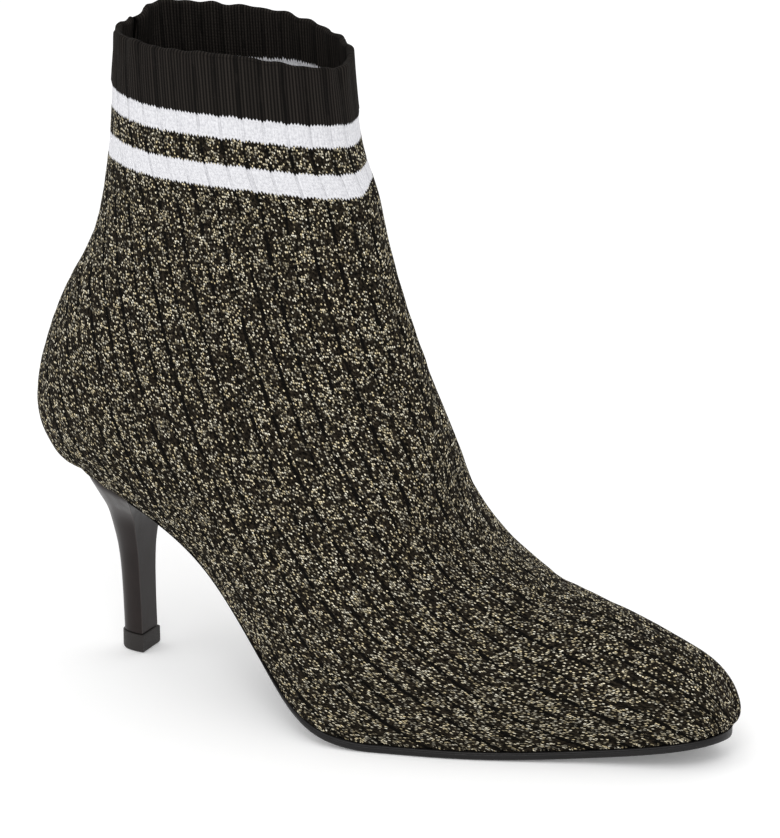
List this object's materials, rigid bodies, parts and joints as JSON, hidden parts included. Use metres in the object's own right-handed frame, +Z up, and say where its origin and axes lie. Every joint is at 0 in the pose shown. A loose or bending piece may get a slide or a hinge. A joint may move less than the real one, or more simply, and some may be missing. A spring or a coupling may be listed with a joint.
{
  "type": "ankle boot",
  "caption": "Pull-on sock ankle boot with a ribbed cuff, pointed toe, thin outsole and slim heel, right foot",
  "frame": {"origin": "the middle of the heel tip's flat underside, on the plane that the boot stands on", "axes": "+X from the heel to the toe, +Z up, and the outer (lateral) side of the right foot at -Y"},
  "size_m": [0.2535, 0.0913, 0.2234],
  "materials": {
    "knit": "ribbed knit with metallic thread",
    "insole_lining": "smooth lining",
    "sole_rubber": "satin edge",
    "heel_leather": "glossy",
    "tip_rubber": "matt"
  },
  "bodies": {
    "root": {"upper": "knit", "insole": "insole_lining", "outsole": "sole_rubber", "heel": "heel_leather", "heel_tip": "tip_rubber"}
  },
  "joints": []
}
